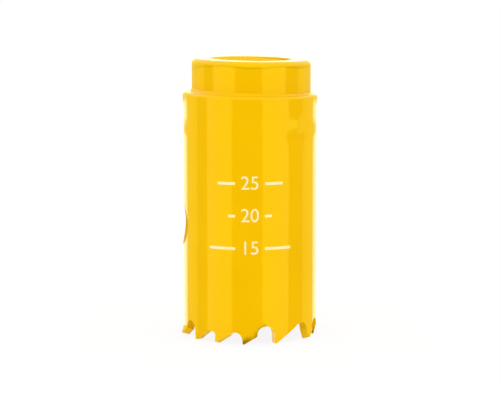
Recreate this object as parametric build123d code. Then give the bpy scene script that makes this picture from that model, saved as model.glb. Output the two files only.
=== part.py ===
from build123d import *
import os
from math import asin, atan2, cos, degrees, hypot, radians, sin, tan

# A bi-metal hole saw: a rolled steel barrel with set teeth, closed by a thick turned plug that
# is tapped for an arbor. Millimetres, +Z up, standing on its teeth. The origin is the middle of
# the circle on which the teeth stand, and the front of the saw faces -Y.
# Angles round the saw are in degrees from the front, positive to the right.

# ---- driving dimensions ----

# barrel
cutting_dia = 22.0          # circle cut by the teeth that lean out
side_set = 0.4              # how far those teeth stand proud of the barrel
wall = 1.25                 # strip thickness
barrel_height = 38.2        # standing plane to the shoulder
shoulder_radius = 0.8       # rounding of the barrel's top outer edge
side_hole_dia = 6.6         # hole for levering the cut slug out
side_hole_height = 17.6     # standing plane to the hole's centre
side_hole_angle = -85.5

# teeth
first_tooth_angle = -53.4   # leading corner of the first tooth
tooth_leans = 4 * (0, 1, -1) + (1,)  # straight, out, in, four times over; the closing tooth leans out
tooth_pitches = (23.6, 23.5, 28.0, 35.5, 24.8, 31.5)  # repeated; what is left closes the ring
lean_length = 1.5           # how much of each tooth is bent
relief_angle = 34.0         # back of the tooth
rake_angle = -4.0           # front of the tooth, negative where the corner trails
tip_land = 0.15             # flat at the corner
coarse_pitch_angle = 24.5   # teeth at least this far apart get the coarse gullet
coarse_gullet_depth = 2.75
coarse_gullet_radius = 1.3
fine_gullet_depth = 1.8
fine_gullet_radius = 1.0
edge_strip = 1.0            # height of the high-speed steel welded on at the tips

# cap
cap_height = 5.4            # part that stands above the barrel
cap_depth = 5.1             # part that is pressed into the barrel
cap_edge_radius = 0.85
cap_lead_in = 0.4           # chamfer at the pressed end
thread_minor_dia = 11.5     # 1/2-20 internal thread
thread_mouth_dia = 13.0     # countersunk mouth at both ends

# ---- sizes that follow ----

barrel_radius = cutting_dia / 2 - side_set
bore_radius = barrel_radius - wall
mid_radius = barrel_radius - wall / 2
cap_radius = bore_radius
cap_top = barrel_height + cap_height
cap_bottom = barrel_height - cap_depth
weld_leg = wall - shoulder_radius
thread_mouth_depth = (thread_mouth_dia - thread_minor_dia) / 2

# A tooth that leans out touches the cutting circle with its outer corner, and the saw stands on
# the lowest corners of the leaning teeth.
corner_reach = wall / 2 + side_set
lean_angle = degrees(asin(corner_reach / hypot(lean_length, wall / 2)) - atan2(wall / 2, lean_length))
lean_line = lean_length * cos(radians(lean_angle)) + wall / 2 * sin(radians(lean_angle))
tool_reach = 2 * wall


def ring(outer_radius, inner_radius, low, high):
    """A plain tube about the axis between two heights."""
    base = (Align.CENTER, Align.CENTER, Align.MIN)
    outside = Cylinder(outer_radius, high - low, align=base)
    inside = Cylinder(inner_radius, high - low, align=base)
    return Pos(0, 0, low) * (outside - inside)


def rim(part, radius, height):
    """The circular edge of a part at one radius and height."""
    level = part.edges().filter_by(GeomType.CIRCLE).filter_by_position(Axis.Z, height, height)
    return level.sort_by(lambda edge: abs(edge.radius - radius))[0]


def wall_plane(angle, lean=0.0):
    """A plane in mid-wall at the lean line: x to the right, y up the wall, z outwards."""
    turn = radians(angle - 90)
    outwards = Vector(cos(turn), sin(turn), 0)
    return Plane(
        origin=outwards * mid_radius + Vector(0, 0, lean_line),
        x_dir=Vector(-sin(turn), cos(turn), 0),
        z_dir=outwards * cos(radians(lean)) + Vector(0, 0, sin(radians(lean))),
    )


def wall_tool(plane, profile):
    """A cutter that takes a profile straight through the wall."""
    return extrude(plane * profile, amount=tool_reach, both=True)


# ---- layout of the teeth ----


class Tooth:
    """Where a tooth stands, how it leans, and the gullets on both sides of it."""

    def __init__(self, angle, lean, pitch_before, pitch_after):
        self.angle = angle
        self.lean = lean
        self.pitch = pitch_after
        self.gullet_depth, self.gullet_radius = gullet_size(pitch_before)
        self.next_depth, self.next_radius = gullet_size(pitch_after)


def gullet_size(pitch):
    """Depth and bottom radius of the gullet between two teeth."""
    if pitch >= coarse_pitch_angle:
        return coarse_gullet_depth, coarse_gullet_radius
    return fine_gullet_depth, fine_gullet_radius


def lay_out_teeth():
    """The teeth in order round the barrel."""
    pitches = [tooth_pitches[index % len(tooth_pitches)] for index in range(len(tooth_leans) - 1)]
    pitches.append(360 - sum(pitches))
    teeth = []
    angle = first_tooth_angle
    for index, pitch in enumerate(pitches):
        teeth.append(Tooth(angle, lean_angle * tooth_leans[index], pitches[index - 1], pitch))
        angle += pitch
    return teeth


def arc_angle(length):
    """Angle that a length takes up on the outside of the barrel."""
    return degrees(length / barrel_radius)


def gullet_tool(tooth):
    """The milled gullet on the left of a tooth, with the tooth's rake face as its right side."""
    back = radians(-rake_angle)
    radius = tooth.gullet_radius
    corner = Vector(0, -lean_length)
    up_rake = Vector(-sin(back), cos(back))
    rise = (tooth.gullet_depth - radius + radius * sin(back)) / cos(back)
    tangent = corner + up_rake * rise
    centre = tangent - Vector(cos(back), sin(back)) * radius
    left = centre.X - radius
    below = -lean_length - wall
    slot = Polygon(corner - up_rake * wall, tangent, centre, (left, centre.Y), (left, below), align=None)
    return wall_tool(wall_plane(tooth.angle), slot + Pos(centre) * Circle(radius))


def relief_tool(tooth):
    """The milled back of a tooth, from its land up to the next gullet and no higher than that.

    Teeth are milled before they are bent, so the cut leans with the tooth below the lean line.
    """
    span = tooth.pitch - arc_angle(tooth.next_radius)
    half_run = barrel_radius * sin(radians(span / 2))
    slope = tan(radians(relief_angle))
    start = -half_run + tip_land
    bend = start + lean_length / slope
    below = -lean_length - wall
    lower = Polygon(
        (start, -lean_length), (bend, 0), (half_run, 0), (half_run, below), (-half_run - wall, below),
        (-half_run - wall, -lean_length), align=None,
    )
    crest = tooth.next_depth - lean_length
    if crest / slope < half_run - bend:
        top = [(bend + crest / slope, crest), (half_run, crest)]
    else:
        top = [(half_run, (half_run - bend) * slope)]
    upper = Polygon((bend, 0), *top, (half_run, -wall), (bend, -wall), align=None)
    angle = tooth.angle + span / 2
    return wall_tool(wall_plane(angle, tooth.lean), lower) + wall_tool(wall_plane(angle), upper)


def tooth_blank(tooth):
    """A tooth before milling: a sector of the wall, bent in or out below the lean line."""
    lean = radians(tooth.lean)
    tip = Vector(mid_radius + lean_length * sin(lean), lean_line - lean_length * cos(lean))
    half_wall = Vector(cos(lean), sin(lean)) * wall / 2
    section = Polygon(
        (bore_radius, lean_line), (barrel_radius, lean_line), tip + half_wall, tip - half_wall, align=None
    )
    start = tooth.angle - arc_angle(tooth.gullet_radius)
    end = tooth.angle + tooth.pitch - arc_angle(tooth.next_radius * 1.05)
    return Rot(0, 0, start - 90) * revolve(Plane.XZ * section, Axis.Z, end - start)


def mill_teeth(teeth, gullets, reliefs):
    """The finished teeth below the lean line, one solid each."""
    next_gullets = gullets[1:] + gullets[:1]
    cuts = zip(teeth, gullets, reliefs, next_gullets)
    return [tooth_blank(tooth) - gullet - relief - after for tooth, gullet, relief, after in cuts]


def make_barrel(gullets, reliefs, roots):
    """Strip rolled into a tube and welded, with a slug hole and the roots of the teeth."""
    tube = ring(barrel_radius, bore_radius, lean_line, barrel_height)
    tube = fillet(rim(tube, barrel_radius, barrel_height), shoulder_radius)
    disc = Pos(0, side_hole_height - lean_line) * Circle(side_hole_dia / 2)
    return tube - wall_tool(wall_plane(side_hole_angle), disc) - gullets - reliefs + roots


def make_cap():
    """Turned plug with a rounded top edge, tapped through for the arbor."""
    plug = ring(cap_radius, thread_minor_dia / 2, cap_bottom, cap_top)
    plug = fillet(rim(plug, cap_radius, cap_top), cap_edge_radius)
    plug = chamfer(rim(plug, cap_radius, cap_bottom), cap_lead_in)
    for end in (cap_bottom, cap_top):
        plug = chamfer(rim(plug, thread_minor_dia / 2, end), thread_mouth_depth)
    return plug


def make_weld():
    """Ring of weld in the corner between the barrel's top and the cap."""
    corner = (cap_radius, barrel_height)
    out = (cap_radius + weld_leg, barrel_height)
    up = (cap_radius, barrel_height + weld_leg)
    return revolve(Plane.XZ * Polygon(corner, out, up, align=None), Axis.Z)


# ---- build and write ----

teeth = lay_out_teeth()
gullet_tools = [gullet_tool(tooth) for tooth in teeth]
relief_tools = [relief_tool(tooth) for tooth in teeth]
milled = mill_teeth(teeth, gullet_tools, relief_tools)
strip = ring(cutting_dia, wall, -wall, edge_strip)

nodes = {
    "barrel": make_barrel(gullet_tools, relief_tools, [tooth - strip for tooth in milled]),
    "cap": make_cap(),
    "cap_weld": make_weld(),
}
for number, tooth in enumerate(milled, 1):
    nodes[f"tooth_tip_{number:02d}"] = tooth & strip

os.makedirs("parts", exist_ok=True)
for name, shape in nodes.items():
    export_step(shape, f"parts/{name}.step")
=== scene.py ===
from math import asin, atan2, cos, degrees, exp, hypot, pi, radians, sin, sqrt, tan

import bpy
from mathutils import Matrix, Vector


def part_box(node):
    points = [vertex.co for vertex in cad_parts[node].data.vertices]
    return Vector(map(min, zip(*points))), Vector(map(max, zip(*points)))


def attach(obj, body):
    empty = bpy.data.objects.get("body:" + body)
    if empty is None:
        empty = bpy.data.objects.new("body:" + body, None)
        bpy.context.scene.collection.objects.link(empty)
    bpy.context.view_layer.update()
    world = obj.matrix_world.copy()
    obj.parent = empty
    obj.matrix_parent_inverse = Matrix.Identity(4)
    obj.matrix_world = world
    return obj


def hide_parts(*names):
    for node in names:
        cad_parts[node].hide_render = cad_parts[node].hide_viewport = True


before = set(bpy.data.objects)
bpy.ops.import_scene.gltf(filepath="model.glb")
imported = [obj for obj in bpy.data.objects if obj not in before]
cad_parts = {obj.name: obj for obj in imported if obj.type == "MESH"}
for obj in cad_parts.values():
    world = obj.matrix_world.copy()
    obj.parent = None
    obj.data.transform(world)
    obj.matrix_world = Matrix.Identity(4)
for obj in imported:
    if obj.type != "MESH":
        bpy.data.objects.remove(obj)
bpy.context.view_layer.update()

# ---- barrel ----
# The cup of the saw: a strip of spring steel with a high-speed steel edge. The teeth are milled
# and set while the strip is flat and the slug hole is punched through it. The strip is then
# rolled up, butt-welded, and enamelled all over, teeth and bore too.

MM = 0.001
CUTTING_RADIUS = 11.0
SIDE_SET = 0.4
WALL = 1.25
OUTER_RADIUS = CUTTING_RADIUS - SIDE_SET
MID_RADIUS = OUTER_RADIUS - WALL / 2
BARREL_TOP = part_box("barrel")[1][2] / MM
SHOULDER_RADIUS = 0.5
STRIP_LENGTH = 2 * pi * MID_RADIUS
SEAM = STRIP_LENGTH / 2

FIRST_TOOTH = -53.4
TOOTH_LEANS = 4 * (0, 1, -1) + (1,)
TOOTH_PITCHES = (23.6, 23.5, 28.0, 35.5, 24.8, 31.5)
LEAN_LENGTH = 1.5
LEAN_BEND = 0.6
RELIEF_ANGLE = radians(34.0)
RAKE_LEAN = radians(4.0)
TIP_LAND = 0.2
COARSE_PITCH = 24.5
# depth of a gullet, and radius of its bottom
COARSE_GULLET = (2.75, 1.3)
FINE_GULLET = (1.8, 1.0)
GULLET_STEPS = 20
# how a long back turns level: points along and up from where it would meet the gullet's top level
LEVELLING = ((-0.35, -0.35 * tan(RELIEF_ANGLE) * 0.93), (-0.1, -0.055), (0.2, 0.0))
EDGE_ROUNDING = 0.09

reach = WALL / 2 + SIDE_SET
LEAN = asin(reach / hypot(LEAN_LENGTH, WALL / 2)) - atan2(WALL / 2, LEAN_LENGTH)
LEAN_LINE = LEAN_LENGTH * cos(LEAN) + WALL / 2 * sin(LEAN)
TIP_LINE = LEAN_LINE - LEAN_LENGTH

pitches = [TOOTH_PITCHES[i % len(TOOTH_PITCHES)] for i in range(len(TOOTH_LEANS) - 1)]
pitches.append(360 - sum(pitches))


class Tooth:
    """One tooth of the flat strip, with the gullet on its left."""

    def __init__(self, number):
        turn, i = divmod(number, len(pitches))
        self.angle = FIRST_TOOTH + 360 * turn + sum(pitches[:i])
        self.x = radians(self.angle) * MID_RADIUS
        self.lean = TOOTH_LEANS[i] * LEAN
        depth, self.radius = COARSE_GULLET if pitches[i - 1] >= COARSE_PITCH else FINE_GULLET
        rise = (depth - self.radius * (1 - sin(RAKE_LEAN))) / cos(RAKE_LEAN)
        self.gullet_x = self.x - sin(RAKE_LEAN) * rise - cos(RAKE_LEAN) * self.radius
        self.gullet_z = TIP_LINE + depth - self.radius


def back_and_gullet(tooth, following):
    """Outline from a tooth's leading corner, over its back and through the next gullet."""
    land_end = tooth.x + TIP_LAND
    cx, cz, radius = following.gullet_x, following.gullet_z, following.radius
    points = [(tooth.x, TIP_LINE), (land_end, TIP_LINE)]
    # distance of the gullet's centre from the line of the back
    away = (cx - land_end) * sin(RELIEF_ANGLE) - (cz - TIP_LINE) * cos(RELIEF_ANGLE)
    if away < radius:
        start = pi / 2 + RELIEF_ANGLE + (pi / 2 - asin(away / radius))
    else:
        # a long back reaches the level of the gullet's top first, and turns level there
        level = cz + radius - TIP_LINE
        turn_x = land_end + level / tan(RELIEF_ANGLE)
        points += [(turn_x + x, TIP_LINE + level + z) for x, z in LEVELLING]
        start = pi / 2
    for k in range(GULLET_STEPS + 1):
        angle = start + (RAKE_LEAN - start) * k / GULLET_STEPS
        points.append((cx + radius * cos(angle), cz + radius * sin(angle)))
    return points


def choose(piece):
    """Makes a piece the only selected one, and the active one."""
    bpy.ops.object.select_all(action="DESELECT")
    piece.select_set(True)
    bpy.context.view_layer.objects.active = piece


def cut_along(place, across, **cleared):
    """Cuts the mesh in edit mode with a plane; both sides stay unless one is named as cleared."""
    bpy.ops.mesh.select_all(action="SELECT")
    bpy.ops.mesh.bisect(plane_co=place, plane_no=across, **cleared)


# the row of teeth runs on past both ends of the strip, which are cut off below
SPARE_STRIP = 8.0
teeth = [Tooth(i) for i in range(-9, 18)]
teeth = [tooth for tooth in teeth if abs(tooth.x) < SEAM + SPARE_STRIP]
edge = [point for pair in zip(teeth, teeth[1:]) for point in back_and_gullet(*pair)]
outline = edge + [(edge[-1][0], BARREL_TOP), (edge[0][0], BARREL_TOP)]

barrel_mesh = bpy.data.meshes.new("barrel_shell")
barrel_mesh.from_pydata([(x, WALL / 2, z) for x, z in outline], [], [range(len(outline))])
barrel = bpy.data.objects.new("barrel_shell", barrel_mesh)
bpy.context.collection.objects.link(barrel)
choose(barrel)
bpy.ops.object.mode_set(mode="EDIT")
bpy.ops.mesh.select_all(action="SELECT")
bpy.ops.mesh.extrude_region_move(TRANSFORM_OT_translate={"value": (0, -WALL, 0)})
bpy.ops.mesh.select_all(action="SELECT")
bpy.ops.mesh.normals_make_consistent(inside=False)
bpy.ops.object.mode_set(mode="OBJECT")

HOLE_RADIUS = 3.3
HOLE_HEIGHT = 17.6
HOLE_ANGLE = -85.5
bpy.ops.mesh.primitive_cylinder_add(
    vertices=96, radius=HOLE_RADIUS, depth=4 * WALL, rotation=(pi / 2, 0, 0),
    location=(radians(HOLE_ANGLE) * MID_RADIUS, 0, HOLE_HEIGHT),
)
punch = bpy.context.object
choose(barrel)
punching = barrel.modifiers.new("punched hole", "BOOLEAN")
punching.object = punch
punching.solver = "EXACT"
bpy.ops.object.modifier_apply(modifier=punching.name)
bpy.data.objects.remove(punch)

rounding = barrel.modifiers.new("painted edges", "BEVEL")
rounding.width = EDGE_ROUNDING
rounding.segments = 3
rounding.limit_method = "ANGLE"
rounding.angle_limit = radians(30)
bpy.ops.object.modifier_apply(modifier=rounding.name)

# the strip is cut square at its two ends, and ruled across and along so that it can curve
COLUMNS = 144
SHOULDER_ROWS = range(0, 90, 9)
# first height, step and count of the other rows: closest at the teeth and at the knock
ROW_RUNS = ((0.25, 0.25, 15), (5.0, 2.5, 9), (27.0, 0.5, 8), (31.0, 0.25, 17), (35.5, 0.5, 5))
# a knock from before the tube was sprayed left a short upright ridge with a hollow under it
KNOCK = radians(44.2) * MID_RADIUS
KNOCK_COLUMN = 0.2
RIDGE_HEIGHT, RIDGE_SIZE, RIDGE_HALF, RIDGE_TALL = 33.8, 0.27, 1.9, 1.2
HOLLOW_HEIGHT, HOLLOW_SIZE, HOLLOW_HALF, HOLLOW_TALL = 31.9, 0.14, 1.9, 0.8
bpy.ops.object.mode_set(mode="EDIT")
cut_along((-SEAM, 0, 0), (1, 0, 0), clear_inner=True)
cut_along((SEAM, 0, 0), (1, 0, 0), clear_outer=True)
for i in range(1, COLUMNS):
    cut_along((-SEAM + STRIP_LENGTH * i / COLUMNS, 0, 0), (1, 0, 0))
for k in range(-10, 11):
    cut_along((KNOCK + KNOCK_COLUMN * k, 0, 0), (1, 0, 0))
rows = [LEAN_LINE + LEAN_BEND * (k / 4 - 0.5) for k in range(5)]
rows += [first + step * k for first, step, count in ROW_RUNS for k in range(count)]
rows += [BARREL_TOP - SHOULDER_RADIUS * (1 - sin(radians(angle))) for angle in SHOULDER_ROWS]
for row in rows:
    cut_along((0, 0, row), (0, 0, 1))
bpy.ops.object.mode_set(mode="OBJECT")
bpy.ops.object.shade_smooth()
evening = barrel.modifiers.new("flat faces stay flat", "WEIGHTED_NORMAL")
evening.weight = 100
bpy.ops.object.modifier_apply(modifier=evening.name)

# how far the rolled tube swells (+) or waists (-): height, amount, reach
SWELLS = ((19.0, -0.04, 60.0), (34.6, -0.03, 1.9), (31.3, 0.025, 1.4))
# from this height up the tube leans ever more out of square, so that its top slopes down to the right
SLOPE_START = 30.0
TOP_SLOPE = -0.2 / OUTER_RADIUS


def swell(z):
    """How far the tube's radius departs from its nominal size at a height."""
    return sum(size * exp(-(((z - at) / wide) ** 2)) for at, size, wide in SWELLS)


def dent(x, z):
    """How far the knock pushes the wall out (+) or in (-)."""
    ridge = max(1 - abs(x - KNOCK) / RIDGE_HALF, 0) ** 2 * exp(-(((z - RIDGE_HEIGHT) / RIDGE_TALL) ** 2))
    hollow = exp(-(((x - KNOCK) / HOLLOW_HALF) ** 2) - ((z - HOLLOW_HEIGHT) / HOLLOW_TALL) ** 2)
    return RIDGE_SIZE * ridge - HOLLOW_SIZE * hollow


def set_and_roll(x, y, z, lean):
    """Place in the finished tube of a point of the flat strip, y inwards from mid-wall."""
    out = -y
    risen = z - (BARREL_TOP - SHOULDER_RADIUS)
    if risen > 0:
        shoulder = sqrt(max(SHOULDER_RADIUS**2 - risen**2, 0)) - SHOULDER_RADIUS + WALL
        out = (out + WALL / 2) * shoulder / WALL - WALL / 2
    below = LEAN_LINE + LEAN_BEND / 2 - z
    if lean and below > 0:
        bent = min(below, LEAN_BEND)
        angle = lean * bent / LEAN_BEND
        turn = LEAN_BEND / lean
        straight = below - bent
        z = LEAN_LINE + LEAN_BEND / 2 - turn * sin(angle) - straight * cos(angle) + out * sin(angle)
        out = turn * (1 - cos(angle)) + straight * sin(angle) + out * cos(angle)
    radius = MID_RADIUS + out + swell(z) + dent(x, z)
    theta = x / MID_RADIUS
    slope = min(max((z - SLOPE_START) / (BARREL_TOP - SLOPE_START), 0), 1) ** 2 * TOP_SLOPE
    return Vector((radius * sin(theta), -radius * cos(theta), z + slope * radius * sin(theta)))


def owner_of(x):
    """The tooth that a place along the strip belongs to."""
    begun = [tooth for tooth in teeth if tooth.gullet_x <= x]
    return begun[-1] if begun else teeth[0]


# painted shade beside the back of a tooth that leans inwards: where it starts and stops, how far it
# reaches from the back and fades, and the place along the back where it is narrowest
SHADE_START, SHADE_TOP = -0.4, 3.4
SHADE_REACH, SHADE_FADE = 1.05, 0.75
NECK_PLACE, NECK_HALF, NECK_LOSS, NECK_SHADE = 1.35, 0.6, 0.4, 0.35


def thinning(x, z):
    """How much painted shade darkens a tooth that leans inwards, beside its back."""
    owner = owner_of(x)
    along = x - owner.x - TIP_LAND
    if owner.lean >= 0 or along < SHADE_START or z > SHADE_TOP:
        return 0.0
    away = (z - TIP_LINE) * cos(RELIEF_ANGLE) - along * sin(RELIEF_ANGLE)
    neck = exp(-(((along - NECK_PLACE) / NECK_HALF) ** 2))
    return min(max((SHADE_REACH - NECK_LOSS * neck - away) / SHADE_FADE, 0), 1) * (1 - NECK_SHADE * neck)


shell = barrel.data
# both ends of the strip get the same points, so that they close into one seam
SEAM_GAP = 0.002
ends = [[vertex for vertex in shell.vertices if abs(vertex.co.x - x) < SEAM_GAP] for x in (-SEAM, SEAM)]
for one_end, other_end in (ends, ends[::-1]):
    for vertex in one_end:
        twin = min(other_end, key=lambda other: (other.co.yz - vertex.co.yz).length)
        vertex.co.y, vertex.co.z = twin.co.yz

# painted shade runs in a thin line along the edges of the teeth and beside the backs of the teeth
# that lean inwards, and the enamel is duller on the cut faces than on the rolled ones
EDGE_SHADE = 0.2
EDGE_FROM, EDGE_TO = 0.1, 0.9
TEETH_TOP = 4.0
painted_shade = shell.attributes.new("painted_shade_amount", "FLOAT", "POINT")
dull = shell.attributes.new("cut_face", "FLOAT", "POINT")
for vertex in shell.vertices:
    x, y, z = vertex.co
    inset = (WALL / 2 - abs(y)) / EDGE_ROUNDING
    on_edge = EDGE_FROM < inset < EDGE_TO and z < TEETH_TOP
    painted_shade.data[vertex.index].value = max(EDGE_SHADE * on_edge, thinning(x, z) if y < 0 else 0.0)
    dull.data[vertex.index].value = 1.0 if inset > EDGE_TO else 0.0

# the normals are rolled up with the strip: each is worked out from two short steps along its face
STEP = 1e-2
flat = [vertex.co.copy() for vertex in shell.vertices]
leans = [owner_of(co.x).lean for co in flat]
rolled_normals = shell.attributes.new("rolled_normal", "FLOAT_VECTOR", "CORNER")
for loop in shell.loops:
    normal = Vector(shell.corner_normals[loop.index].vector)
    side = normal.orthogonal().normalized() * STEP
    up = normal.cross(side)
    at, lean = flat[loop.vertex_index], leans[loop.vertex_index]
    here = set_and_roll(*at, lean)
    across = set_and_roll(*(at + side), lean) - here
    along = set_and_roll(*(at + up), lean) - here
    rolled_normals.data[loop.index].vector = across.cross(along).normalized()
for vertex, at, lean in zip(shell.vertices, flat, leans):
    vertex.co = set_and_roll(*at, lean) * MM

bpy.ops.object.mode_set(mode="EDIT")
bpy.ops.mesh.select_all(action="SELECT")
bpy.ops.mesh.remove_doubles(threshold=SEAM_GAP * MM)
bpy.ops.object.mode_set(mode="OBJECT")
shell = barrel.data
rolled_normals = shell.attributes["rolled_normal"]
shell.normals_split_custom_set([tuple(corner.vector) for corner in rolled_normals.data])
shell.attributes.remove(shell.attributes["rolled_normal"])


def linear(code):
    """Linear colour of an sRGB hex value."""
    parts = [int(code[i : i + 2], 16) / 255 for i in (1, 3, 5)]
    return tuple(p / 12.92 if p <= 0.04045 else ((p + 0.055) / 1.055) ** 2.4 for p in parts) + (1.0,)


def add_node(tree, kind, values=None, links=None, **settings):
    """Adds a node with its settings, input values and links from (node, output) pairs."""
    node = tree.nodes.new(kind)
    for name, value in settings.items():
        setattr(node, name, value)
    for name, value in (values or {}).items():
        node.inputs[name].default_value = value
    for name, (source, output) in (links or {}).items():
        tree.links.new(source.outputs[output], node.inputs[name])
    return node


# Baked enamel, sprayed over bare steel: deep yellow, wet-looking, with a faint orange peel. It
# flowed a little before it set, so tone and surface drift over about a centimetre. Painted shade
# darkens it towards olive on the teeth and under the rim of the cap, and it is dull on a cut face.
FLOW_SIZE, FLOW_DEPTH = 9.0, 0.06
PEEL_SIZE, PEEL_DEPTH = 1.1, 0.02
SMOOTH_ROUGHNESS, CUT_ROUGHNESS = 0.075, 0.7
enamel = bpy.data.materials.new("baked_yellow_enamel")
enamel.use_nodes = True
tree = enamel.node_tree
tree.nodes.clear()
place = add_node(tree, "ShaderNodeTexCoord")
flow = add_node(
    tree, "ShaderNodeTexNoise", {"Scale": 1 / (FLOW_SIZE * MM), "Detail": 2.0},
    {"Vector": (place, "Object")},
)
tone = add_node(tree, "ShaderNodeValToRGB", None, {"Fac": (flow, "Fac")})
tone.color_ramp.elements[0].position = 0.35
tone.color_ramp.elements[0].color = linear("#F0B901")
tone.color_ramp.elements[1].position = 0.65
tone.color_ramp.elements[1].color = linear("#F2BC02")
peel = add_node(
    tree, "ShaderNodeTexNoise", {"Scale": 1 / (PEEL_SIZE * MM), "Detail": 1.0},
    {"Vector": (place, "Object")},
)
waves = add_node(
    tree, "ShaderNodeBump", {"Strength": 1.0, "Distance": FLOW_DEPTH * MM}, {"Height": (flow, "Fac")},
)
relief = add_node(
    tree, "ShaderNodeBump", {"Strength": 0.05, "Distance": PEEL_DEPTH * MM},
    {"Height": (peel, "Fac"), "Normal": (waves, "Normal")},
)
# painted shade: the shade mask mixes the enamel towards dark olive
shade_amount = add_node(tree, "ShaderNodeAttribute", attribute_name="painted_shade_amount")
shaded = add_node(
    tree, "ShaderNodeMix", {7: linear("#8A6600")}, {0: (shade_amount, "Fac"), 6: (tone, "Color")},
    data_type="RGBA",
)
cut_faces = add_node(tree, "ShaderNodeAttribute", attribute_name="cut_face")
gloss = add_node(
    tree, "ShaderNodeMapRange", {"To Min": SMOOTH_ROUGHNESS, "To Max": CUT_ROUGHNESS},
    {"Value": (cut_faces, "Fac")},
)
coat = add_node(
    tree, "ShaderNodeBsdfPrincipled", {"IOR": 1.55, "Specular Tint": linear("#FFFB50")},
    {"Base Color": (shaded, 2), "Roughness": (gloss, "Result"), "Normal": (relief, "Normal")},
)
add_node(tree, "ShaderNodeOutputMaterial", None, {"Surface": (coat, "BSDF")})

barrel.data.materials.clear()
barrel.data.materials.append(enamel)
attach(barrel, "root")
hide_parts("barrel", *[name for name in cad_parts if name.startswith("tooth_tip")])

# ---- cap ----
# A steel disc, turned on a lathe and tapped for the arbor. It is pressed into the end of the
# barrel and welded round the joint, and it carries the same enamel, down into the thread.

CAP_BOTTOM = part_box("cap")[0][2] / MM
CAP_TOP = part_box("cap")[1][2] / MM
CAP_TALL = CAP_TOP - CAP_BOTTOM
CAP_RADIUS = OUTER_RADIUS - WALL
CAP_ROUNDING = 0.85
LEAD_IN = 0.4
# depth and height of the wall's points, from the lead-in up: above the barrel it has a slight waist
WAIST = (
    (0.02, CAP_BOTTOM + LEAD_IN), (0.0, CAP_BOTTOM + 0.6), (0.0, 37.0), (0.01, 38.3),
    (0.015, 39.2), (0.015, 40.0), (0.0135, 40.8), (0.01, 41.4),
)
# from the waist the wall widens to its full radius in rows that lie close, for the lip of enamel
WIDENING_START, WIDENING_ROW, WIDENING_ROWS = 41.7, 0.07, 15
WIDENING, WIDEST = 0.006, 42.7
FOOT_RINGS = (7.0, 8.0)
FACE_RINGS = (8.0, 7.2, 6.75)
THREAD_MINOR = 5.75
THREAD_MAJOR = 6.35
THREAD_PITCH = 1.27
THREAD_ROWS = 110
# share of the pitch that is level at the crest of the thread, and at its root
THREAD_FLAT = 0.14
MOUTH_RADIUS = 6.5
MOUTH_DEPTH = 0.75
CAP_STEPS = 144
POINT_GAP = 0.0005
BORE_MARGIN = 0.01


def arc(cx, cz, radius, start, end, steps):
    """Points (r, z) of an arc, angles in degrees."""
    angles = [radians(start + (end - start) * k / steps) for k in range(steps + 1)]
    return [(cx + radius * cos(angle), cz + radius * sin(angle)) for angle in angles]


def turn_ring(name, section, steps):
    """Spins a closed section, points (r, z), into a ring about the saw's axis."""
    mesh = bpy.data.meshes.new(name)
    edges = [(i, (i + 1) % len(section)) for i in range(len(section))]
    mesh.from_pydata([(r * MM, 0, z * MM) for r, z in section], edges, [])
    piece = bpy.data.objects.new(name, mesh)
    bpy.context.collection.objects.link(piece)
    choose(piece)
    bpy.ops.object.mode_set(mode="EDIT")
    bpy.ops.mesh.select_all(action="SELECT")
    bpy.ops.mesh.spin(steps=steps, angle=2 * pi, center=(0, 0, 0), axis=(0, 0, 1))
    bpy.ops.mesh.select_all(action="SELECT")
    bpy.ops.mesh.remove_doubles(threshold=POINT_GAP * MM)
    bpy.ops.mesh.normals_make_consistent(inside=False)
    bpy.ops.object.mode_set(mode="OBJECT")
    return piece


bore_heights = [CAP_BOTTOM + CAP_TALL * (1 - k / THREAD_ROWS) for k in range(THREAD_ROWS + 1)]
widening_heights = [WIDENING_START + WIDENING_ROW * k for k in range(WIDENING_ROWS)]
section = [(THREAD_MINOR, z) for z in bore_heights]
section += [(radius, CAP_BOTTOM) for radius in FOOT_RINGS + (CAP_RADIUS - LEAD_IN,)]
section += [(CAP_RADIUS - depth, z) for depth, z in WAIST]
section += [(CAP_RADIUS - WIDENING * (WIDEST - z), z) for z in widening_heights]
section += arc(CAP_RADIUS - CAP_ROUNDING, CAP_TOP - CAP_ROUNDING, CAP_ROUNDING, 0, 90, 18)
section += [(radius, CAP_TOP) for radius in FACE_RINGS]
cap = turn_ring("end_cap", section, CAP_STEPS)


def thread_radius(theta, z):
    """Radius of the tapped hole: a thread that runs out in the countersinks."""
    phase = ((z - theta / (2 * pi) * THREAD_PITCH) / THREAD_PITCH) % 1.0
    flank = abs(2 * phase - 1)
    depth = min(max((flank - THREAD_FLAT) / (1 - 2 * THREAD_FLAT), 0), 1)
    groove = THREAD_MINOR + (THREAD_MAJOR - THREAD_MINOR) * depth
    slant = (MOUTH_RADIUS - THREAD_MINOR) / MOUTH_DEPTH
    mouth = MOUTH_RADIUS - min(z - CAP_BOTTOM, CAP_TOP - z) * slant
    return max(groove, mouth)


for vertex in cap.data.vertices:
    x, y, z = vertex.co / MM
    if hypot(x, y) < THREAD_MINOR + BORE_MARGIN:
        theta = atan2(y, x)
        radius = thread_radius(theta, z)
        vertex.co = Vector((radius * cos(theta), radius * sin(theta), z)) * MM

# the enamel sagged under the rim and stopped in a wavy line, a shallow groove with painted shade along
# it: angle round the cap, rise, width in degrees
LIP_HEIGHT = CAP_TOP - 1.0
LIP_WAVES = (
    (-26, 0.3, 13), (29, 0.3, 14), (-80, -0.7, 18), (75, 0.1, 12), (115, -0.2, 14),
    (150, 0.25, 18), (-140, 0.2, 20),
)
LIP_INSIDE, LIP_FOOT = CAP_RADIUS - 0.6, 41.5
LINE_SIZE, LINE_HALF, LINE_SHADE = 0.008, 0.1, 0.28
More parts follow.
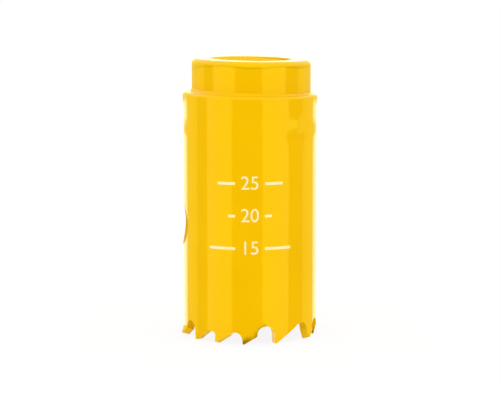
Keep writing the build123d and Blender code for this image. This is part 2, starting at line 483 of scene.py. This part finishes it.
# above the line, on both sides of the front, the enamel is darkened by painted shade
RIM_SHADE_ANGLE, RIM_SHADE_WIDE, RIM_SHADE_TALL, RIM_SHADE = 62, 24, 0.5, 0.13
lip = cap.data.attributes.new("painted_shade_amount", "FLOAT", "POINT")
for vertex in cap.data.vertices:
    x, y, z = vertex.co / MM
    radius = hypot(x, y)
    if radius > LIP_INSIDE and z > LIP_FOOT:
        theta = degrees(atan2(x, -y))
        wave = sum(rise * exp(-(((theta - at) / wide) ** 2)) for at, rise, wide in LIP_WAVES)
        over = z - LIP_HEIGHT - wave
        line = exp(-((over / LINE_HALF) ** 2))
        beside = ((abs(theta) - RIM_SHADE_ANGLE) / RIM_SHADE_WIDE) ** 2
        shade_beside = exp(-beside - (max(over, 0) / RIM_SHADE_TALL) ** 2) * (over > 0)
        lip.data[vertex.index].value = max(LINE_SHADE * line, RIM_SHADE * shade_beside)
        vertex.co.x *= 1 - LINE_SIZE * line / radius
        vertex.co.y *= 1 - LINE_SIZE * line / radius

# the wall of the cap is square, but its face and foot slope down to the right
CAP_SLOPE = 0.0166
CAP_SHIFT = 0.19
askew = Matrix.Identity(4)
askew[2][0] = -CAP_SLOPE
cap.data.transform(Matrix.Translation(Vector((CAP_SHIFT, 0, -CAP_SLOPE * CAP_RADIUS)) * MM) @ askew)
bpy.ops.object.shade_smooth_by_angle(angle=radians(40))
cap.data.materials.append(enamel)
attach(cap, "root")
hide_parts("cap")

# ---- cap weld ----
# The fillet of weld metal that holds the cap in the barrel. It was laid round the foot of the cap
# in one pass and enamelled over, and it shows as a soft hollow corner.

WELD_LEG = 0.5
# the back of its section is sunk into the cap and into the barrel
WELD_TOP = 38.9
SUNK_IN_CAP, SUNK_IN_BARREL = 0.3, 0.35
WELD_STEPS = 180
fillet_x, fillet_z = CAP_RADIUS + WELD_LEG, BARREL_TOP + WELD_LEG
weld_section = [(CAP_RADIUS - SUNK_IN_CAP, WELD_TOP), (CAP_RADIUS - 0.02, fillet_z)]
weld_section += arc(fillet_x, fillet_z, WELD_LEG * 0.98, 180, 270, 8)[1:]
weld_section += [(fillet_x + 0.05, BARREL_TOP - SUNK_IN_BARREL)]
weld_section += [(CAP_RADIUS - SUNK_IN_CAP, BARREL_TOP - SUNK_IN_BARREL)]
weld = turn_ring("weld_fillet", weld_section, WELD_STEPS)
weld.data.transform(Matrix.Translation(Vector((CAP_SHIFT / 2, 0, 0)) * MM) @ askew)
bpy.ops.object.shade_smooth_by_angle(angle=radians(50))
# the ripple of the bead is too fine to model, so the enamel over it is a little duller
BEAD_DULLNESS = 0.25
bead = weld.data.attributes.new("cut_face", "FLOAT", "POINT")
for point in bead.data:
    point.value = BEAD_DULLNESS
weld.data.materials.append(enamel)
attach(weld, "root")
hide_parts("cap_weld")

# ---- depth marks ----
# Plain numbers and lines printed round the front of the barrel, at their height above the teeth
# in millimetres, for reading how deep the saw has cut. Cream ink, stamped on over the enamel.

# height, and how far the lines reach to both sides
MARK_ROWS = ((25, 5.2), (20, 3.4), (15, 6.6))
DIGIT_HEIGHT = 2.1
TEXT_PER_DIGIT = 1.4
LINE_START = 2.3
LINE_THICK = 0.42
INK_FLOAT = 0.012
INK_GAP = 0.002
# the marks are cut in narrow columns so that they can curve, each a little off the lines' ends
MARK_COLUMN, MARK_COLUMN_SHIFT = 0.2, 0.003
# Marking ink dries thin and less shiny than enamel, and its tone is slightly speckled.
SPECK_SIZE = 0.35
ink = bpy.data.materials.new("cream_marking_ink")
ink.use_nodes = True
tree = ink.node_tree
tree.nodes.clear()
place = add_node(tree, "ShaderNodeTexCoord")
speck = add_node(
    tree, "ShaderNodeTexNoise", {"Scale": 1 / (SPECK_SIZE * MM), "Detail": 2.0},
    {"Vector": (place, "Object")},
)
wash = add_node(tree, "ShaderNodeValToRGB", None, {"Fac": (speck, "Fac")})
wash.color_ramp.elements[0].position = 0.3
wash.color_ramp.elements[0].color = linear("#F8E29A")
wash.color_ramp.elements[1].position = 0.6
wash.color_ramp.elements[1].color = linear("#FDEDB4")
film = add_node(
    tree, "ShaderNodeBsdfPrincipled", {"Roughness": 0.35, "IOR": 1.5}, {"Base Color": (wash, "Color")},
)
add_node(tree, "ShaderNodeOutputMaterial", None, {"Surface": (film, "BSDF")})

strokes = []
for height, line_end in MARK_ROWS:
    bpy.ops.object.text_add(location=(0, 0, 0))
    digits = bpy.context.object
    digits.data.body = str(height)
    digits.data.size = DIGIT_HEIGHT * TEXT_PER_DIGIT
    digits.data.align_x = "CENTER"
    digits.data.align_y = "CENTER"
    digits.data.resolution_u = 6
    bpy.ops.object.convert(target="MESH")
    digits = bpy.context.object
    digits.data.transform(Matrix.Translation((0, height, 0)))
    strokes.append(digits)
    for side in (-1, 1):
        bpy.ops.mesh.primitive_plane_add(size=1, location=(0, 0, 0))
        line = bpy.context.object
        line.data.transform(Matrix.Diagonal((line_end - LINE_START, LINE_THICK, 1, 1)))
        line.data.transform(Matrix.Translation((side * (line_end + LINE_START) / 2, height, 0)))
        strokes.append(line)
choose(strokes[0])
for stroke in strokes:
    stroke.select_set(True)
bpy.ops.object.join()
marks = bpy.context.object
marks.name = "depth_marks"
bpy.ops.object.mode_set(mode="EDIT")
for k in range(-35, 36):
    cut_along((MARK_COLUMN * k + MARK_COLUMN_SHIFT, 0, 0), (1, 0, 0))
bpy.ops.mesh.select_all(action="SELECT")
bpy.ops.mesh.remove_doubles(threshold=INK_GAP)
bpy.ops.object.mode_set(mode="OBJECT")
for vertex in marks.data.vertices:
    x, z, _ = vertex.co
    theta = x / OUTER_RADIUS
    radius = OUTER_RADIUS + swell(z) + INK_FLOAT
    vertex.co = Vector((radius * sin(theta), -radius * cos(theta), z)) * MM
bpy.ops.object.shade_smooth()
marks.data.materials.clear()
marks.data.materials.append(ink)
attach(marks, "root")

# ---- floor, light and camera ----
# The saw stands on a sheet of white paper in a light tent, and the camera looks slightly down on
# it through a long lens. The cards and gaps of the tent make the light bands in the enamel.

# White paper is matt. To the camera it is nearly as bright as the tent behind it.
FLOOR_RADIUS = 4.0
PAPER_GLOW = 0.88
BOUNCE_GLOW = 0.5
bpy.ops.mesh.primitive_circle_add(
    vertices=96, radius=FLOOR_RADIUS, fill_type="NGON", location=(0, 0, 0),
)
floor = bpy.context.object
floor.name = "floor"
paper = bpy.data.materials.new("white_paper")
paper.use_nodes = True
tree = paper.node_tree
tree.nodes.clear()
path = add_node(tree, "ShaderNodeLightPath")
matt = add_node(tree, "ShaderNodeBsdfDiffuse", {"Color": (0.9, 0.9, 0.9, 1)})
bright = add_node(tree, "ShaderNodeEmission", {"Color": (1, 1, 1, 1), "Strength": 1.0})
seen = add_node(
    tree, "ShaderNodeMath", {1: PAPER_GLOW}, {0: (path, "Is Camera Ray")}, operation="MULTIPLY",
)
glow = add_node(
    tree, "ShaderNodeMath", {1: BOUNCE_GLOW}, {0: (path, "Is Diffuse Ray"), 2: (seen, "Value")},
    operation="MULTIPLY_ADD",
)
sheet = add_node(
    tree, "ShaderNodeMixShader", None,
    {"Fac": (glow, "Value"), 1: (matt, "BSDF"), 2: (bright, "Emission")},
)
add_node(tree, "ShaderNodeOutputMaterial", None, {"Surface": (sheet, "Shader")})
floor.data.materials.append(paper)
floor.visible_glossy = False

world = bpy.data.worlds.new("light tent")
bpy.context.scene.world = world
world.use_nodes = True
tree = world.node_tree
tree.nodes.clear()
path = add_node(tree, "ShaderNodeLightPath")
way = add_node(tree, "ShaderNodeTexCoord")
parts = add_node(tree, "ShaderNodeSeparateXYZ", None, {"Vector": (way, "Generated")})
front = add_node(tree, "ShaderNodeMath", {1: -1.0}, {0: (parts, "Y")}, operation="MULTIPLY")
azimuth = add_node(
    tree, "ShaderNodeMath", None, {0: (parts, "X"), 1: (front, "Value")}, operation="ARCTAN2",
)
# cards and gaps of the tent: middle, half width and softness in degrees round it, lowest and highest
# direction, softness of the highest, brightness
WHITE_CARDS = (
    (-54.5, 23.5, 2.0, -0.4, 0.3, 0.1, 1.5), (45.0, 24.0, 2.0, -0.4, 0.3, 0.1, 1.5),
    (180.0, 43.5, 4.0, -0.32, -0.083, 0.003, 1.5), (180.0, 14.0, 3.0, -0.06, 0.2, 0.02, 1.05),
)
WARM_CARDS = (
    (180.0, 78.0, 2.0, -0.5, 0.3, 0.1, 0.45), (116.5, 14.5, 2.0, -0.5, 0.3, 0.1, 0.4),
    (-117.0, 14.0, 2.0, -0.5, 0.3, 0.1, 0.4), (0.0, 200.0, 2.0, -2.0, -0.36, 0.08, 0.6),
    (180.0, 47.0, 4.0, -0.06, 0.3, 0.1, 0.45),
)
WARM_COLOUR = (("Red", 1.0), ("Green", 0.92), ("Blue", 0.12))
LOW_SOFTNESS = 0.1
TENT_DIM = 0.15
# the roof lightens between two heights, and it is dimmer at the back
ROOF = 1.2
ROOF_FROM, ROOF_FULL = 0.16, 0.44
BACK_FROM, BACK_FULL, BACK_DIMMING = -0.2, 0.5, 0.8


def card_light(cards, start):
    """Summed brightness of some cards."""
    level = add_node(tree, "ShaderNodeMath", {0: start, 1: 0.0}, operation="ADD")
    for middle, half, soft, low, high, high_soft, strength in cards:
        off = add_node(
            tree, "ShaderNodeMath", {1: -radians(middle)}, {0: (azimuth, "Value")}, operation="ADD",
        )
        wrap = add_node(
            tree, "ShaderNodeMath", {1: pi, 2: -pi}, {0: (off, "Value")}, operation="WRAP",
        )
        size = add_node(tree, "ShaderNodeMath", None, {0: (wrap, "Value")}, operation="ABSOLUTE")
        lit = add_node(
            tree, "ShaderNodeMapRange",
            {"From Min": radians(half + soft), "From Max": radians(half - soft), "To Max": strength},
            {"Value": (size, "Value")}, interpolation_type="SMOOTHSTEP",
        )
        below = add_node(
            tree, "ShaderNodeMapRange", {"From Min": high + high_soft, "From Max": high - high_soft},
            {"Value": (parts, "Z")}, interpolation_type="SMOOTHSTEP",
        )
        above = add_node(
            tree, "ShaderNodeMapRange", {"From Min": low - LOW_SOFTNESS, "From Max": low + LOW_SOFTNESS},
            {"Value": (parts, "Z")}, interpolation_type="SMOOTHSTEP",
        )
        between = add_node(
            tree, "ShaderNodeMath", None, {0: (below, "Result"), 1: (above, "Result")},
            operation="MULTIPLY",
        )
        level = add_node(
            tree, "ShaderNodeMath", None,
            {0: (lit, "Result"), 1: (between, "Value"), 2: (level, "Value")}, operation="MULTIPLY_ADD",
        )
    return level


white = card_light(WHITE_CARDS, TENT_DIM)
warm = card_light(WARM_CARDS, 0.0)
overhead = add_node(
    tree, "ShaderNodeMapRange", {"From Min": ROOF_FROM, "From Max": ROOF_FULL, "To Max": ROOF},
    {"Value": (parts, "Z")}, interpolation_type="SMOOTHSTEP",
)
behind = add_node(
    tree, "ShaderNodeMapRange",
    {"From Min": BACK_FROM, "From Max": BACK_FULL, "To Min": 1.0, "To Max": BACK_DIMMING},
    {"Value": (parts, "Y")}, interpolation_type="SMOOTHSTEP",
)
roof = add_node(
    tree, "ShaderNodeMath", None, {0: (overhead, "Result"), 1: (behind, "Result")},
    operation="MULTIPLY",
)
neutral = add_node(
    tree, "ShaderNodeMath", None, {0: (white, "Value"), 1: (roof, "Value")}, operation="ADD",
)
colour = add_node(tree, "ShaderNodeCombineColor")
for channel, share in WARM_COLOUR:
    light = add_node(
        tree, "ShaderNodeMath", {1: share}, {0: (warm, "Value"), 2: (neutral, "Value")},
        operation="MULTIPLY_ADD",
    )
    tree.links.new(light.outputs["Value"], colour.inputs[channel])
tent = add_node(tree, "ShaderNodeBackground", {"Strength": 1.0}, {"Color": (colour, "Color")})
backdrop = add_node(tree, "ShaderNodeBackground", {"Color": (1, 1, 1, 1), "Strength": 1.0})
surround = add_node(
    tree, "ShaderNodeMixShader", None,
    {"Fac": (path, "Is Camera Ray"), 1: (tent, "Background"), 2: (backdrop, "Background")},
)
add_node(tree, "ShaderNodeOutputWorld", None, {"Surface": (surround, "Shader")})

CAMERA_BACK = 307.34
CAMERA_HEIGHT = 61.14
CAMERA_PITCH = radians(7.413)
LENS = 141.48
camera_data = bpy.data.cameras.new("camera")
camera_data.sensor_width = 36
camera_data.lens = LENS
camera_data.clip_start = 0.01
camera = bpy.data.objects.new("camera", camera_data)
bpy.context.collection.objects.link(camera)
camera.location = (0, -CAMERA_BACK * MM, CAMERA_HEIGHT * MM)
camera.rotation_euler = (pi / 2 - CAMERA_PITCH, 0, 0)
bpy.context.scene.camera = camera
bpy.context.scene.view_settings.view_transform = "Standard"
